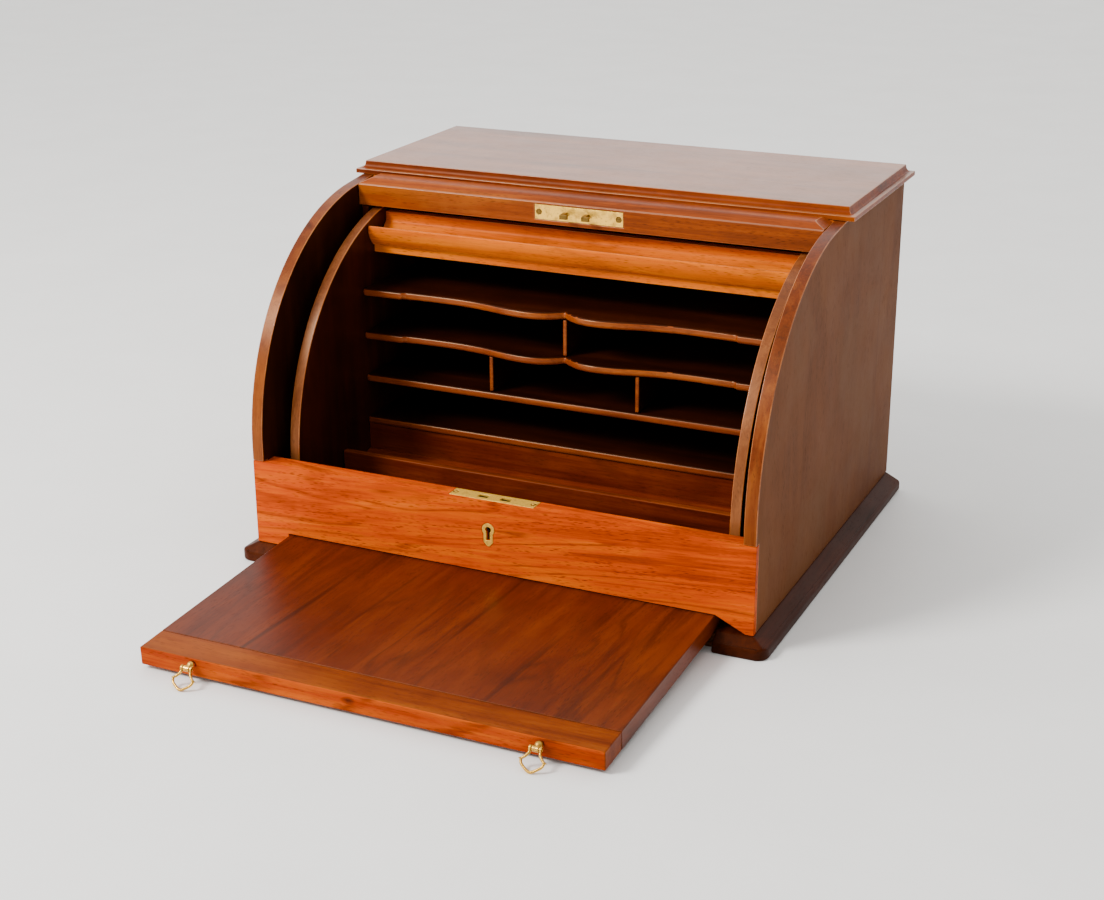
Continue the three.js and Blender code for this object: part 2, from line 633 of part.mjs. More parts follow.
// The bail in its own plane: x across, -z down from the pin.
function bailShape() {
  const { eyeX, wire, length, halfWidth } = bail;
  const at = (x, z) => new THREE.Vector3(x, 0, z);
  const shoulder = -length * 0.52;
  const halfPath = (sign) => new THREE.CatmullRomCurve3([
    at(sign * eyeX, -0.4), at(sign * (eyeX + 0.1), -2.6), at(sign * (eyeX + 1.6), -5.2),
    at(sign * halfWidth, shoulder),
  ]);
  const tube = (path, steps) => new THREE.ExtrudeGeometry(circle(wire, 8), {
    steps, extrudePath: path, bevelEnabled: false,
  });
  const bowl = new THREE.CatmullRomCurve3([
    at(-halfWidth, shoulder + 0.6), at(-halfWidth + 0.8, shoulder - 2.4),
    at(-halfWidth * 0.5, -length + 1.9), at(0, -length), at(halfWidth * 0.5, -length + 1.9),
    at(halfWidth - 0.8, shoulder - 2.4), at(halfWidth, shoulder + 0.6),
  ]);
  const tips = [-1, 1].map((sign) => new THREE.ConeGeometry(wire, 2.6, 8)
    .rotateZ(-sign * Math.PI / 2.4).translate(sign * (halfWidth + 0.9), 0, shoulder + 0.2));
  const eyes = [-1, 1].map((sign) => rodX(bail.eyeRadius, sign * eyeX - bail.eyeThickness / 2,
    sign * eyeX + bail.eyeThickness / 2, 0, 0, 16));
  const ring = join(tube(halfPath(1), 12), tube(halfPath(-1), 12), tube(bowl, 28), ...eyes, ...tips);
  return cut(ring, rodX(pull.pinRadius + gap, -eyeX - 3, eyeX + 3, 0, 0, 16));
}

function circle(radius, sides) {
  return new THREE.Shape(arc(0, 0, radius, 0, Math.PI * 2 * (1 - 1 / sides), sides - 1));
}

function makePulls() {
  for (const [name, sign] of [['left', -1], ['right', 1]]) {
    add(`pull_stud_${name}`, pullStud(sign * pull.x), brass, slide);
    const hinge = new THREE.Group();
    hinge.position.set(sign * pull.x, -slideReach - pull.pinReach, -pull.below);
    hinge.rotation.x = -bailLean - slideSlope;
    slide.add(hinge);
    add(`pull_bail_${name}`, bailShape(), brass, hinge);
  }
}

// ---- fitted interior ----------------------------------------------------------------------------
// Front edge of the two upper shelves, as offsets behind the straight line at shares of the half width.
const serpentine = new THREE.SplineCurve([
  point(0, 5), point(0.03, 0.8), point(0.07, -3.4), point(0.12, -6), point(0.18, -6.6), point(0.26, -5),
  point(0.34, -1.8), point(0.42, 1), point(0.51, 2.6), point(0.62, 3), point(0.72, 2.6), point(0.78, 2.2),
]);
const notchShare = { start: 0.785, end: 0.8, depth: 0.6 };

function shapedShelf(top) {
  const half = serpentine.getPoints(44).map((p) => [p.x * innerHalf, interiorFront + p.y]);
  const outer = [
    [notchShare.start * innerHalf, interiorFront + 2 + notchShare.depth],
    [notchShare.end * innerHalf, interiorFront + 1 + notchShare.depth],
    [notchShare.end * innerHalf + 1, interiorFront], [innerHalf, interiorFront - 0.5],
  ];
  const right = [...half, ...outer];
  const left = right.slice(1).reverse().map(([x, y]) => [-x, y]);
  const outline = [...left, ...right].map(([x, y]) => point(x, y));
  const back = interiorBackFace - gap;
  return alongZ([...outline, point(innerHalf, back), point(-innerHalf, back)], top - shelfThickness, top);
}

function frieze() {
  const ridge = axisY - friezeReach;
  const t = friezeTop;
  const back = axisY + friezeBack;
  const foot = t - friezeHeight;
  return alongX([
    point(back, foot), point(ridge + 9, foot), point(ridge + 9, foot + 6.3), point(ridge + 7, foot + 6.5),
    point(ridge + 4.5, foot + 9), point(ridge + 1.6, foot + 13.5), point(ridge + 0.2, foot + 18),
    point(ridge, foot + 21.6), point(ridge + 1.2, foot + 23), point(ridge + 4, foot + 20.6),
    point(ridge + 10, foot + 16.4), point(ridge + 18, foot + 15.2), point(ridge + 24.5, foot + 17),
    point(ridge + 28, foot + 20.5), point(ridge + 29, foot + 23), point(ridge + 29, t), point(back, t),
  ], -innerHalf, innerHalf);
}

function makeInterior() {
  add('carcass_floor', block(-innerHalf, innerHalf, frontY + railThickness + gap,
    backY - backThickness - gap, floorUnder, floorTop), interiorMahogany);
  const foot = floorTop + gap;
  const fenceFront = frontY + fenceSetback;
  const fenceBack = fenceFront + fenceThickness;
  const fence = block(-innerHalf, innerHalf, fenceFront, fenceBack, foot, baseHeight + fenceHeight);
  add('fence_rail', fence, interiorMahogany);
  const riserFront = interiorFront + riserSetback;
  const trayFront = fenceBack + gap;
  const trayBack = riserFront - gap;
  const trayTop = baseHeight + trayHeight;
  const trayMiddle = (trayFront + trayBack) / 2;
  const hollowHalf = (trayBack - trayFront) / 2 - 2.5;
  const hollow = Array.from({ length: 15 }, (_, i) => {
    const share = 1 - i / 7;
    return point(trayMiddle + share * hollowHalf, trayTop - trayHollow * (1 - share ** 2));
  });
  add('pen_tray', alongX([
    point(trayFront, foot), point(trayBack, foot), point(trayBack, trayTop),
    ...hollow, point(trayFront, trayTop),
  ], -innerHalf, innerHalf), interiorMahogany);
  add('riser_board', block(-innerHalf, innerHalf, riserFront, riserFront + riserThickness, foot,
    lowestShelfTop - shelfThickness - gap), interiorMahogany);
  const backFace = interiorBackFace - gap;
  for (let i = 0; i < 4; i += 1) {
    const top = highestShelfTop - i * shelfPitch;
    const straight = () => block(-innerHalf, innerHalf, interiorFront, backFace, top - shelfThickness, top);
    add(`shelf_${i + 1}`, i < 2 ? shapedShelf(top) : straight(), interiorMahogany);
  }
  const divider = (x, shelf, inset) => block(
    x - dividerThickness / 2, x + dividerThickness / 2, interiorFront + inset, backFace,
    highestShelfTop - shelf * shelfPitch + gap,
    highestShelfTop - (shelf - 1) * shelfPitch - shelfThickness - gap);
  add('center_divider', divider(0, 1, 4.5), interiorMahogany);
  addPair('lower_divider', divider(lowerDividerX, 2, 0.8), interiorMahogany);
  add('frieze_rail', frieze(), mahogany);
  const friezeFace = axisY + friezeBack + gap;
  add('interior_top', block(-innerHalf, innerHalf, friezeFace, interiorBackFar,
    interiorTopUnder, interiorTopOver), interiorMahogany);
  add('interior_back', block(-innerHalf, innerHalf, interiorBackFace, interiorBackFar, foot,
    interiorTopUnder - gap), interiorMahogany);
}

makeBase();
makeCase();
addPair('liner', liner(), interiorMahogany);
makeInterior();
makeLock();
makeRoll();
makeSlide();
makeGuides();
makePulls();

export default desk;
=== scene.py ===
import json
import math

import bpy
from mathutils import Matrix, Vector


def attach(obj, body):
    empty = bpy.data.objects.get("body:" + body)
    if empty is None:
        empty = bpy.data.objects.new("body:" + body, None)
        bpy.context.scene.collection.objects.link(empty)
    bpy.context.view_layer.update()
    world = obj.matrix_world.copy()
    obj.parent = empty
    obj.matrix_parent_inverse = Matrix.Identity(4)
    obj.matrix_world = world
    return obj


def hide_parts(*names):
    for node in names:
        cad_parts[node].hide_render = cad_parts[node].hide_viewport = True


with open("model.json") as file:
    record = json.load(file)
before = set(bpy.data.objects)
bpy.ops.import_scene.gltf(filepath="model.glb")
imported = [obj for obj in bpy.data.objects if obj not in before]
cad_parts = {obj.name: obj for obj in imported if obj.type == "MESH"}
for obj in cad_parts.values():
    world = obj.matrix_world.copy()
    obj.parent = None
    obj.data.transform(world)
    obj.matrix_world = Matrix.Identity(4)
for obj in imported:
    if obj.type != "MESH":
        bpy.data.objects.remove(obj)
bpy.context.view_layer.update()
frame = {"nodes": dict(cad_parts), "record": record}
nodes = frame["nodes"]
bodyOf = {node: body for body, members in frame["record"]["behaviour"]["bodies"].items() for node in members}
slotOf = {part["node"]: part["material_slot"] for part in frame["record"]["subparts"]}
mm = 0.001


# One socket of a shader. Adding, multiplying and so on adds Math nodes.
class Value:
    def __init__(self, finish, socket):
        self.finish = finish
        self.socket = socket

    def maths(self, operation, first, second=0.0):
        return self.finish.node("ShaderNodeMath", {"operation": operation}, {0: first, 1: second})

    def __add__(self, other):
        return self.maths("ADD", self, other)

    def __radd__(self, other):
        return self.maths("ADD", other, self)

    def __sub__(self, other):
        return self.maths("SUBTRACT", self, other)

    def __rsub__(self, other):
        return self.maths("SUBTRACT", other, self)

    def __mul__(self, other):
        return self.maths("MULTIPLY", self, other)

    def __rmul__(self, other):
        return self.maths("MULTIPLY", other, self)

    def part(self):
        return self.maths("FRACT", self)

    def size(self):
        return self.maths("ABSOLUTE", self)


class Finish:
    def __init__(self, name):
        self.material = bpy.data.materials.new(name)
        self.material.use_nodes = True
        self.tree = self.material.node_tree
        self.tree.nodes.clear()
        self.place = self.node("ShaderNodeTexCoord", output="Object")

    # Adds any node: its settings go first, then a value or a link for each named input.
    def node(self, kind, settings=None, inputs=None, output=0):
        made = self.tree.nodes.new(kind)
        for name, setting in (settings or {}).items():
            if name == "stops":
                elements = made.color_ramp.elements
                while len(elements) < len(setting):
                    elements.new(0.5)
                for element, (position, color) in zip(elements, setting):
                    element.position = position
                    element.color = (*color, 1)
            else:
                setattr(made, name, setting)
        for name, given in (inputs or {}).items():
            if isinstance(given, Value):
                self.tree.links.new(given.socket, made.inputs[name])
            elif isinstance(given, tuple) and len(given) == 3 and made.inputs[name].type == "RGBA":
                made.inputs[name].default_value = (*given, 1)
            else:
                made.inputs[name].default_value = given
        return Value(self, made.outputs[output])

    # Every pattern made after this lies at a small angle to the piece.
    def tilt(self, angles):
        turn = tuple(math.radians(angle) for angle in angles)
        self.place = self.node("ShaderNodeMapping", {}, {"Vector": self.place, "Rotation": turn})

    # The object's own coordinates, moved and stretched.
    def mapped(self, scale, shift=(0, 0, 0)):
        return self.node("ShaderNodeMapping", {}, {"Vector": self.place, "Scale": scale, "Location": shift})

    def noise(self, scale, shift=(0, 0, 0), detail=3.0, roughness=0.55, distortion=0.0):
        return self.node("ShaderNodeTexNoise", {}, {
            "Vector": self.mapped(scale, shift), "Scale": 1.0, "Detail": detail,
            "Roughness": roughness, "Distortion": distortion})

    def cells(self, scale, shift=(0, 0, 0)):
        return self.node("ShaderNodeTexVoronoi", {},
                         {"Vector": self.mapped(scale, shift), "Scale": 1.0}, "Distance")

    def ramp(self, factor, stops):
        return self.node("ShaderNodeValToRGB", {"stops": stops}, {"Fac": factor}, "Color")

    # A grey value spread over 0 to 1 between two limits.
    def spread(self, value, low, high):
        return self.node("ShaderNodeMapRange", {"clamp": True}, {
            "Value": value, "From Min": low, "From Max": high, "To Min": 0.0, "To Max": 1.0})

    def mix(self, factor, first, second, how="MIX"):
        return self.node("ShaderNodeMix", {"data_type": "RGBA", "blend_type": how},
                         {0: factor, 6: first, 7: second}, 2)

    def bump(self, height, strength, distance):
        return self.node("ShaderNodeBump", {}, {"Height": height, "Strength": strength, "Distance": distance})

    def close(self, inputs):
        surface = self.node("ShaderNodeBsdfPrincipled", {}, inputs)
        output = self.tree.nodes.new("ShaderNodeOutputMaterial")
        self.tree.links.new(surface.socket, output.inputs["Surface"])
        return self.material


def lengthwise(grain, along, across):
    scale = [across, across, across]
    scale["xyz".index(grain)] = along
    return tuple(scale)


mahogany = dict(
    grain="x", shift=(0, 0, 0), tilt=(0, 0, 0),
    dark=(0.085, 0.016, 0.004), middle=(0.30, 0.062, 0.008), light=(0.52, 0.15, 0.022),
    pore=(0.020, 0.003, 0.0005), toneAlong=3.0, toneAcross=11.0, streakAlong=4.5, streakAcross=60.0,
    low=0.36, high=0.64, pores=0.6, rings=0.35, ringCount=9.0, ringAcross=9.0, fade=(0, 0, 0), fadeBy=0.0,
    knot=(0, 0, 0), knotSize=0.0, lines=(0.67, 0.76),
    roughness=0.34, coat=0.0, coatRoughness=0.12, coatIor=1.5, shine=0.3, tint=(1.0, 0.66, 0.42), bump=0.25)


def makeWood(name, **changes):
    look = {**mahogany, **changes}
    wood = Finish(name)
    wood.tilt(look["tilt"])
    grain, shift = look["grain"], look["shift"]
    tone = wood.noise(lengthwise(grain, look["toneAlong"], look["toneAcross"]), shift, 4.0, 0.55, 0.5)
    streak = wood.noise(lengthwise(grain, look["streakAlong"], look["streakAcross"]), shift, 6.0, 0.62, 0.9)
    fibre = wood.noise(lengthwise(grain, 26.0, 620.0), shift, 4.0, 0.6, 0.3)
    ribbon = wood.noise(lengthwise(grain, 34.0, 9.0), shift, 3.0, 0.5, 1.2)
    dashes = wood.cells(lengthwise(grain, 130.0, 1000.0), shift)
    sparse = wood.noise(lengthwise(grain, 14.0, 110.0), shift, 3.0, 0.6)
    pores = (1 - wood.spread(dashes, 0.10, 0.36)) * wood.spread(sparse, 0.36, 0.60)
    shade = tone * 0.38 + streak * 0.40 + fibre * 0.15 + ribbon * 0.07
    color = wood.ramp(wood.spread(shade, look["low"], look["high"]), [
        (0.0, look["dark"]), (0.48, look["middle"]), (1.0, look["light"])])
    # Growth lines: thin dark bands that wander along the board and come and go.
    growth = wood.noise(lengthwise(grain, 2.6, look["ringAcross"]),
                        (shift[0] + 1.3, shift[1], shift[2] + 0.7), 2.0, 0.4, 0.8)
    edge = ((growth * look["ringCount"] + fibre * 0.5).part() * 2 - 1).size()
    rings = wood.spread(edge, 0.62, 0.98) * wood.spread(streak, 0.40, 0.56)
    color = wood.mix(rings * look["rings"], color, look["dark"])
    color = wood.mix(pores * look["pores"], color, look["pore"])
    # Dark mineral lines, few and thin.
    line = wood.noise(lengthwise(grain, 2.2, 85.0), (shift[0] + 3.1, shift[1], shift[2] + 1.7), 3.0, 0.5, 0.6)
    color = wood.mix(wood.spread(line, *look["lines"]) * 0.7, color, look["dark"])
    # Grey bloom of old polish in soft patches.
    smear = wood.noise((38.0, 38.0, 38.0), shift, 4.0, 0.6)
    cloud = wood.noise((11.0, 11.0, 11.0), (shift[0] + 5.0, shift[1] + 2.0, shift[2]), 5.0, 0.65, 0.6)
    color = wood.mix(wood.spread(cloud, 0.46, 0.70) * look["fadeBy"], color, look["fade"])
    if look["knotSize"]:
        away = wood.node("ShaderNodeVectorMath", {"operation": "DISTANCE"},
                         {0: wood.mapped((0.6, 1, 1)), 1: (look["knot"][0] * 0.6, *look["knot"][1:])}, "Value")
        ragged = away + (smear - 0.5) * look["knotSize"]
        color = wood.mix(1 - wood.spread(ragged, look["knotSize"] * 0.5, look["knotSize"]), color, look["pore"])
    height = fibre * 0.25 - pores * 0.8 + smear * 0.15 - rings * 0.1
    return wood.close({
        "Base Color": color, "Roughness": look["roughness"] + (smear - 0.5) * 0.16 + pores * 0.12,
        "Coat Weight": look["coat"] - pores * 0.25, "Coat Roughness": look["coatRoughness"],
        "Coat IOR": look["coatIor"], "Specular IOR Level": look["shine"],
        "Specular Tint": (*look["tint"], 1.0),
        "Normal": wood.bump(height, look["bump"], 0.15 * mm)})


brassLook = dict(pale=(0.90, 0.62, 0.20), deep=(0.42, 0.24, 0.06), tarnish=0.45, roughness=0.3, metal=1.0)


def makeBrass(name, **changes):
    look = {**brassLook, **changes}
    brass = Finish(name)
    patches = brass.noise((160.0, 160.0, 160.0), (2, 1, 0), 5.0, 0.62, 0.4)
    specks = brass.noise((900.0, 900.0, 900.0), (0, 3, 1), 3.0, 0.6)
    scratches = brass.noise((60.0, 2400.0, 900.0), (1, 0, 2), 2.0, 0.5)
    dirt = brass.spread(patches, 0.50, 0.72) * look["tarnish"]
    color = brass.mix(dirt, look["pale"], look["deep"])
    color = brass.mix(brass.spread(specks, 0.60, 0.70) * 0.6, color, (0.12, 0.065, 0.02))
    return brass.close({
        "Base Color": color, "Metallic": look["metal"],
        "Roughness": look["roughness"] + dirt * 0.4 + (specks - 0.5) * 0.15,
        "Normal": brass.bump(patches * 0.5 + specks * 0.3 + scratches * 0.2, 0.25, 0.12 * mm)})


def makeIron(name):
    iron = Finish(name)
    patches = iron.noise((140.0, 140.0, 140.0), (5, 0, 2), 5.0, 0.65)
    color = iron.ramp(patches, [(0.3, (0.10, 0.085, 0.07)), (0.7, (0.34, 0.32, 0.29))])
    return iron.close({"Base Color": color, "Metallic": 0.9, "Roughness": 0.42 + patches * 0.2,
                       "Normal": iron.bump(patches, 0.25, 0.1 * mm)})


railWood = makeWood("railMahogany", grain="x", shift=(0.4, 0, 0.2), tilt=(0, 4.5, 0), pores=0.9, shine=0.04,
                    dark=(0.15, 0.010, 0.0001), middle=(0.53, 0.058, 0.0001), light=(0.70, 0.130, 0.0002),
                    pore=(0.06, 0.004, 0.0001),
                    streakAlong=9.0, streakAcross=150.0, toneAcross=18.0, low=0.37, high=0.64,
                    rings=0.7, ringCount=14.0, ringAcross=16.0)
slideWood = makeWood("slideMahogany", grain="y", shift=(0.1, 0.7, 0), tilt=(0, 0, 4),
                     toneAlong=5.0, toneAcross=8.0, streakAlong=7.0, streakAcross=60.0,
                     roughness=0.36, shine=0.24, rings=0.45, ringAcross=12.0,
                     low=0.30, high=0.68, tint=(1.0, 0.62, 0.34), lines=(0.57, 0.72),
                     dark=(0.024, 0.0018, 0.0001), middle=(0.094, 0.0098, 0.0001), light=(0.160, 0.024, 0.0002))
lippingWood = makeWood("lippingMahogany", grain="x", shift=(1.4, 0.3, 0.6), roughness=0.38, shine=0.10,
                       dark=(0.07, 0.007, 0.0002), middle=(0.18, 0.029, 0.0002), light=(0.29, 0.068, 0.001),
                       streakAcross=90.0)
lippingFrontWood = makeWood("lippingFrontMahogany", grain="x", shift=(0.2, 0.3, 0.1),
                            roughness=0.34, shine=0.06, dark=(0.10, 0.006, 0.0001),
                            middle=(0.31, 0.030, 0.0001), light=(0.50, 0.085, 0.0008),
                            streakAcross=120.0, rings=0.7, ringCount=12.0, ringAcross=16.0,
                            knot=(-0.0085, -0.3640, 0.0112), knotSize=0.0046)
topWood = makeWood("topMahogany", grain="x", shift=(2.4, 0.1, 0), coat=0.36, coatIor=1.6, coatRoughness=0.2,
                   shine=0.9, tint=(1.0, 0.66, 0.46), rings=0.2, toneAcross=20.0, streakAcross=44.0,
                   dark=(0.105, 0.024, 0.005), middle=(0.22, 0.056, 0.011), light=(0.32, 0.095, 0.020))
mouldWood = makeWood("mouldingMahogany", grain="x", shift=(2.1, 0.5, 0), streakAcross=100.0, shine=0.12,
                     dark=(0.05, 0.005, 0.0003), middle=(0.19, 0.025, 0.0004), light=(0.33, 0.068, 0.002))
sideWood = makeWood("sideMahogany", grain="z", shift=(0, 0.9, 0.3), roughness=0.55, shine=0.05, rings=0.15,
                    toneAlong=9.0, toneAcross=12.0, streakAlong=12.0, streakAcross=38.0, low=0.30, high=0.70,
                    dark=(0.092, 0.027, 0.008), middle=(0.140, 0.045, 0.013), light=(0.180, 0.064, 0.020),
                    fade=(0.145, 0.060, 0.023), fadeBy=0.7)
sideEdgeWood = makeWood("sideEdgeMahogany", grain="z", shift=(0.5, 0.2, 0.3), streakAcross=90.0, shine=0.25,
                        dark=(0.035, 0.005, 0.0004), middle=(0.13, 0.020, 0.0012), light=(0.24, 0.058, 0.006))
linerEdgeWood = makeWood("linerEdgeMahogany", grain="z", shift=(0.9, 0.5, 0.3), streakAcross=90.0, shine=0.35,
                         dark=(0.07, 0.012, 0.002), middle=(0.18, 0.046, 0.010), light=(0.30, 0.10, 0.028))
# Near-black copy of the mahogany for the liners' inner faces and the arms: painted shade.
linerShadeWood = makeWood("linerShadeMahogany", grain="z", shift=(0.7, 0.4, 0.1), shine=0.2,
                     dark=(0.012, 0.002, 0.0003), middle=(0.045, 0.0055, 0.0004), light=(0.09, 0.016, 0.0015))
# Near-black wood for the faces in the slot between side and liner: painted shade.
slotShadeWood = makeWood("slotShadeMahogany", grain="z", shift=(0.2, 0.6, 0.8), shine=0.1,
                    dark=(0.006, 0.001, 0.0003), middle=(0.020, 0.003, 0.0004), light=(0.04, 0.008, 0.001))
# Near-black wood for the shelves, dividers, floor and back of the pigeonholes: painted shade.
shelfShadeWood = makeWood("shelfShadeMahogany", grain="x", shift=(1.9, 0.8, 0.5), shine=0.15,
                     dark=(0.006, 0.001, 0.0003), middle=(0.020, 0.0028, 0.0003), light=(0.045, 0.008, 0.001))
# Darkened wood for the fence, pen tray and riser down in the well: painted shade.
wellShadeWood = makeWood("wellShadeMahogany", grain="x", shift=(0.6, 1.8, 0.2), streakAcross=90.0, shine=0.12,
                    dark=(0.030, 0.0025, 0.0002), middle=(0.105, 0.0095, 0.0002), light=(0.20, 0.028, 0.0008))
shelfEdgeWood = makeWood("shelfEdgeMahogany", grain="x", shift=(0.9, 0.1, 0.5), streakAcross=120.0, shine=0.40,
                         roughness=0.30, tint=(1.0, 0.70, 0.42), dark=(0.07, 0.008, 0.0002),
                         middle=(0.20, 0.030, 0.0003), light=(0.33, 0.070, 0.001))
# A much lighter copy of the mahogany: painted light where light falls on the frieze.
friezeLitWood = makeWood("friezeLitMahogany", grain="x", shift=(0.2, 1.1, 0.9), streakAcross=90.0, shine=0.06,
                      dark=(0.19, 0.022, 0.0001), middle=(0.62, 0.112, 0.0001), light=(0.80, 0.20, 0.0004))
fallWood = makeWood("fallMahogany", grain="x", shift=(1.2, 1.1, 0.3), streakAcross=90.0, shine=0.2, pores=0.8,
                    dark=(0.06, 0.008, 0.0003), middle=(0.24, 0.038, 0.0006), light=(0.40, 0.095, 0.003))
baseWood = makeWood("baseMahogany", grain="y", shift=(0.6, 0.3, 1.4), roughness=0.45, shine=0.09,
                    dark=(0.016, 0.0022, 0.0004), middle=(0.044, 0.0066, 0.0012), light=(0.085, 0.015, 0.003))
plainWood = makeWood("plainMahogany", grain="x", shift=(3.0, 0.5, 0.2), roughness=0.55, shine=0.12,
                     dark=(0.035, 0.011, 0.004), middle=(0.10, 0.034, 0.012), light=(0.17, 0.066, 0.025))
# Paler wood for the rounded arrises: partly real wear, partly painted highlight along the edges.
wearAndHighlightArris = makeWood("wearAndHighlightArris", grain="x", shift=(0.3, 2.0, 0.4), coat=0.2, roughness=0.3, shine=0.5,
                     tint=(1.0, 0.85, 0.7), dark=(0.14, 0.030, 0.004), middle=(0.36, 0.095, 0.012),
                     light=(0.52, 0.18, 0.035))
brass = makeBrass("oldBrass", pale=(0.66, 0.37, 0.06), deep=(0.16, 0.08, 0.015), tarnish=0.7, roughness=0.24)
darkBrass = makeBrass("darkBrass", pale=(0.18, 0.10, 0.022), deep=(0.06, 0.03, 0.008),
                      tarnish=0.8, roughness=0.4)
brightBrass = makeBrass("brightBrass", pale=(0.96, 0.56, 0.07),
                        deep=(0.40, 0.19, 0.02), tarnish=0.75, roughness=0.30, metal=0.5)
iron = makeIron("dullIron")
print("finishes made")


def deselectAll():
    if bpy.context.object and bpy.context.object.mode != "OBJECT":
        bpy.ops.object.mode_set(mode="OBJECT")
    bpy.ops.object.select_all(action="DESELECT")


def activate(piece):
    deselectAll()
    piece.select_set(True)
    bpy.context.view_layer.objects.active = piece


def applyModifier(piece, kind, **settings):
    modifier = piece.modifiers.new(kind.lower(), kind)
    for name, setting in settings.items():
        setattr(modifier, name, setting)
    bpy.ops.object.modifier_apply(modifier=modifier.name)


def soften(piece, angle=38):
    activate(piece)
    bpy.ops.object.shade_smooth_by_angle(angle=math.radians(angle))
    applyModifier(piece, "WEIGHTED_NORMAL", keep_sharp=True, weight=80)


def stand(piece, body, slot, *replaced):
    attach(piece, body)
    if replaced:
        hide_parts(*replaced)
    return piece


# Gives a finish slot to the faces whose centre and normal pass a test.
def finishFaces(piece, slot, test):
    for face in piece.data.polygons:
        if test(face.center, face.normal):
            face.material_index = slot


# A board worked up from the merged copy of its CAD solid: rounded at its arrises, where the bevel takes the
# lighter arris finish (wear and painted highlight) unless edge is False, and smooth along its curves.
def dress(node, name, *finishes, arris=0.5, edge=True, limit=40, smooth=38, rounds=3, paint=None):
    piece = bpy.data.objects.new(name, nodes[node].data.copy())
    bpy.context.scene.collection.objects.link(piece)
    piece.data.materials.clear()
    for finish in (*finishes, wearAndHighlightArris if edge else finishes[0]):
        piece.data.materials.append(finish)
    activate(piece)
    bpy.ops.object.mode_set(mode="EDIT")
    bpy.ops.mesh.select_all(action="SELECT")
    bpy.ops.mesh.remove_doubles(threshold=0.00001)
    bpy.ops.mesh.dissolve_limited(angle_limit=math.radians(0.4))
    bpy.ops.mesh.normals_make_consistent(inside=False)
    bpy.ops.object.mode_set(mode="OBJECT")
    for face in piece.data.polygons:
        face.material_index = 0
    if paint:
        for slot, test in paint:
            finishFaces(piece, slot, test)
    if arris:
        applyModifier(piece, "BEVEL", width=arris * mm, segments=rounds, limit_method="ANGLE",
                      angle_limit=math.radians(limit), use_clamp_overlap=False,
                      material=len(finishes) if edge else -1)
    soften(piece, smooth)
    return stand(piece, bodyOf[node], slotOf[node], node)


carcass = dict(baseArris=1.4)

for hand in ("left", "right"):
    # The sides' faces towards the liners get the slot finish, which is painted shade.
    dress(f"side_{hand}", f"side{hand.title()}", sideWood, sideEdgeWood, slotShadeWood, arris=0.6,
          paint=[(1, lambda centre, normal: abs(normal.x) < 0.5 and centre.y < 0.165),
                 (2, lambda centre, normal: normal.x * centre.x < -0.1)])
    # The liners' inner faces get near-black wood and their faces towards the sides get the slot finish: both
    # painted shade.
    dress(f"liner_{hand}", f"liner{hand.title()}", linerShadeWood, linerEdgeWood, slotShadeWood, arris=0.7,
          paint=[(1, lambda centre, normal: abs(normal.x) < 0.5),
                 (2, lambda centre, normal: normal.x * centre.x > 0.1)])
    dress(f"base_{hand}", f"base{hand.title()}", baseWood, arris=carcass["baseArris"], edge=False, limit=25)
dress("base_back", "baseBack", baseWood, arris=0.8, edge=False)
dress("under_panel", "underPanel", plainWood, arris=0.4, edge=False)
dress("back_panel", "backPanel", plainWood, arris=0.4, edge=False)
dress("front_rail", "frontRail", railWood, arris=0.35, limit=60, edge=False)
dress("top_board", "topBoard", topWood, mouldWood, arris=0.45, limit=50,
      paint=[(1, lambda centre, normal: normal.z < 0.9)])
# The top rail takes the frieze's lighter finish, which is painted light.
dress("top_rail", "topRail", friezeLitWood, arris=0.4, edge=False)
print("carcass made")

shelves = dict(round=2.2, dividerRound=1.4)


def frontFace(centre, normal):
    return normal.y < -0.3


# Shelves and dividers get painted shade on their tops, undersides and sides; their front faces take the lighter
# edge finish, the lit side.
for node, name in (("shelf_1", "shelfTop"), ("shelf_2", "shelfUpper"),
                   ("shelf_3", "shelfLower"), ("shelf_4", "shelfBottom")):
    dress(node, name, shelfShadeWood, shelfEdgeWood, arris=shelves["round"], limit=60, edge=False,
          smooth=50, rounds=5, paint=[(1, frontFace)])
for node, name in (("center_divider", "centreDivider"), ("lower_divider_left", "lowerDividerLeft"),
                   ("lower_divider_right", "lowerDividerRight")):
    dress(node, name, shelfShadeWood, shelfEdgeWood, arris=shelves["dividerRound"], edge=False, rounds=4,
          paint=[(1, frontFace)])
# The frieze takes its lighter finish, which is painted light.
dress("frieze_rail", "friezeRail", friezeLitWood, arris=0.4, limit=50, smooth=50)
# The fence's body is painted shade; its upward faces take the lighter lipping finish as painted light where
# light falls on them.
dress("fence_rail", "fenceRail", wellShadeWood, lippingWood, arris=1.4, edge=False,
      paint=[(1, lambda centre, normal: normal.z > 0.5)])
dress("pen_tray", "penTray", wellShadeWood, arris=0.5, edge=False)
dress("riser_board", "riserBoard", wellShadeWood, arris=0.4, edge=False)
# The pigeonholes' floor and back take the shelves' painted shade.
dress("carcass_floor", "carcassFloor", shelfShadeWood, arris=0.3, edge=False)
dress("interior_top", "interiorTop", plainWood, arris=0.3, edge=False)
dress("interior_back", "interiorBack", shelfShadeWood, arris=0.3, edge=False)
print("interior made")

dress("leading_rail", "leadingRail", fallWood, arris=0.45, limit=22, smooth=30)
dress("roll_shell", "rollShell", fallWood, arris=0.4, edge=False, limit=60)
# The arms sit in the slot and take the liners' painted shade.
dress("arm_left", "armLeft", linerShadeWood, arris=0.4, edge=False, limit=60)
dress("arm_right", "armRight", linerShadeWood, arris=0.4, edge=False, limit=60)
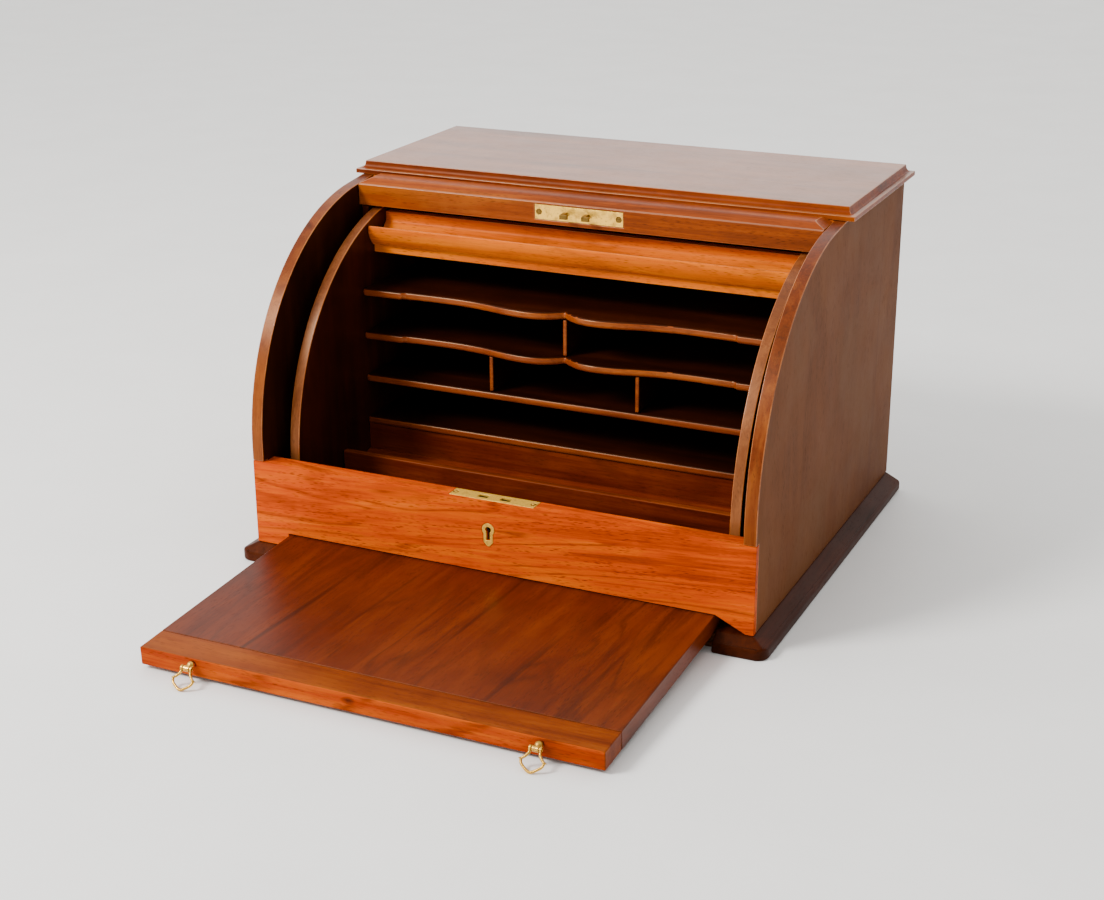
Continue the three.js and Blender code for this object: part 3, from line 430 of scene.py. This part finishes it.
# The hooks stand out of the plate; their faces get dark brass as painted shade.
dress("strike_plate", "strikePlate", brightBrass, darkBrass, arris=0.2, edge=False,
      paint=[(1, lambda centre, normal: centre.y < -0.0149)])
dress("strike_screw_left", "strikeScrewLeft", darkBrass, arris=0.12, edge=False, limit=60)
dress("strike_screw_right", "strikeScrewRight", darkBrass, arris=0.12, edge=False, limit=60)
print("roll made")

dress("lock_selvedge", "lockSelvedge", brightBrass, arris=0.15, edge=False, limit=60)
dress("selvedge_screw_left", "selvedgeScrewLeft", brass, arris=0.12, edge=False, limit=60)
dress("selvedge_screw_right", "selvedgeScrewRight", brass, arris=0.12, edge=False, limit=60)
dress("escutcheon", "escutcheon", brightBrass, arris=0.25, edge=False, limit=60)
print("lock made")

dress("slide_panel", "slidePanel", slideWood, arris=0.6, limit=60, edge=False)
dress("slide_lipping", "slideLipping", lippingWood, lippingFrontWood, arris=0.9, limit=60, edge=False,
      paint=[(1, frontFace)])
print("slide made")

pulls = dict(grain=0.11, rubbing=10)    # mm between facets, and how many times the casting is rubbed smooth


# A small casting: its facets are made fine and even, then rubbed smooth all over.
def cast(node, name):
    piece = dress(node, name, brass, arris=0, edge=False)
    activate(piece)
    applyModifier(piece, "REMESH", mode="VOXEL", voxel_size=pulls["grain"] * mm, use_smooth_shade=True)
    applyModifier(piece, "SMOOTH", factor=0.5, iterations=pulls["rubbing"])
    soften(piece, 60)


for hand in ("left", "right"):
    cast(f"pull_stud_{hand}", f"pullStud{hand.title()}")
    cast(f"pull_bail_{hand}", f"pullBail{hand.title()}")
print("pulls made")

# Hidden pieces keep their plain solids and get a finish only.
hidden = {plainWood: ("runner_left", "runner_right", "kicker_left", "kicker_right", "stop_rail",
                      "slide_stop_left", "slide_stop_right"),
          iron: ("lock_case", "pivot_pin_left", "pivot_pin_right"),
          brass: ("lock_bolt",)}
for finish, members in hidden.items():
    for node in members:
        nodes[node].data.materials.clear()
        nodes[node].data.materials.append(finish)


def makeFloor():
    deselectAll()
    bpy.ops.mesh.primitive_plane_add(size=50, location=(0, 0, -0.0001))
    floor = bpy.context.object
    floor.name = "floor"
    bpy.ops.object.transform_apply(location=True, rotation=True, scale=True)
    pale = Finish("paleFloor")
    mottle = pale.noise((9.0, 9.0, 9.0), (0, 0, 0), 5.0, 0.6)
    floor.data.materials.append(pale.close({
        "Base Color": pale.ramp(mottle, [(0.3, (0.90, 0.90, 0.89)), (0.7, (0.94, 0.94, 0.93))]),
        "Roughness": 0.55}))


def makeLight(name, place, aim, size, power, color=(1, 1, 1)):
    data = bpy.data.lights.new(name, "AREA")
    data.shape = "DISK"
    data.size = size
    data.energy = power
    data.color = color
    lamp = bpy.data.objects.new(name, data)
    bpy.context.scene.collection.objects.link(lamp)
    facing = (Vector(place) - Vector(aim)).to_track_quat("Z", "Y")
    lamp.matrix_world = Matrix.Translation(place) @ facing.to_matrix().to_4x4()


def makeRoom(look):
    world = bpy.data.worlds.new("room")
    world.use_nodes = True
    tree = world.node_tree
    background = tree.nodes["Background"]
    place = tree.nodes.new("ShaderNodeTexCoord")
    facing = tree.nodes.new("ShaderNodeVectorMath")
    facing.operation = "DOT_PRODUCT"
    facing.inputs[1].default_value = look["towards"]
    spread = tree.nodes.new("ShaderNodeMapRange")
    spread.interpolation_type = "SMOOTHSTEP"
    for name, given in (("From Min", -0.7), ("From Max", 0.9),
                        ("To Min", look["dim"]), ("To Max", look["bright"])):
        spread.inputs[name].default_value = given
    tree.links.new(place.outputs["Generated"], facing.inputs[0])
    tree.links.new(facing.outputs["Value"], spread.inputs["Value"])
    tree.links.new(spread.outputs["Result"], background.inputs["Strength"])
    background.inputs["Color"].default_value = (*look["color"], 1)
    bpy.context.scene.world = world


def makeCamera(look):
    azimuth, elevation, roll = (math.radians(look[name]) for name in ("azimuth", "elevation", "roll"))
    back = Vector((math.sin(azimuth) * math.cos(elevation), -math.cos(azimuth) * math.cos(elevation),
                   math.sin(elevation)))
    right = back.cross(Vector((0, 0, 1))) * -1
    right.normalize()
    up = back.cross(right)
    across = right * math.cos(roll) + up * math.sin(roll)
    upright = up * math.cos(roll) - right * math.sin(roll)
    data = bpy.data.cameras.new("camera")
    data.sensor_width = 36
    data.lens = look["lens"]
    data.clip_end = 60
    camera = bpy.data.objects.new("camera", data)
    bpy.context.scene.collection.objects.link(camera)
    turned = Matrix((across, upright, back)).transposed().to_4x4()
    camera.matrix_world = Matrix.Translation(Vector(look["target"]) + back * look["distance"]) @ turned
    bpy.context.scene.camera = camera


makeFloor()
# The room is brightest behind and to the left, where the pale wall and window are.
room = dict(towards=(-0.78, 0.42, 0.46), dim=0.55, bright=1.75, color=(1.0, 0.985, 0.96))
makeRoom(room)
makeLight("key", (-1.25, -1.55, 1.75), (0, 0, 0.1), 0.8, 78, (1.0, 0.97, 0.93))
# Angles in degrees, lengths in metres, lens in mm.
makeCamera(dict(azimuth=24.99, elevation=20.77, roll=-0.33, target=(0.0496, -0.171, 0.1283), distance=1.308,
                lens=60.8967))
print("room made")

deselectAll()
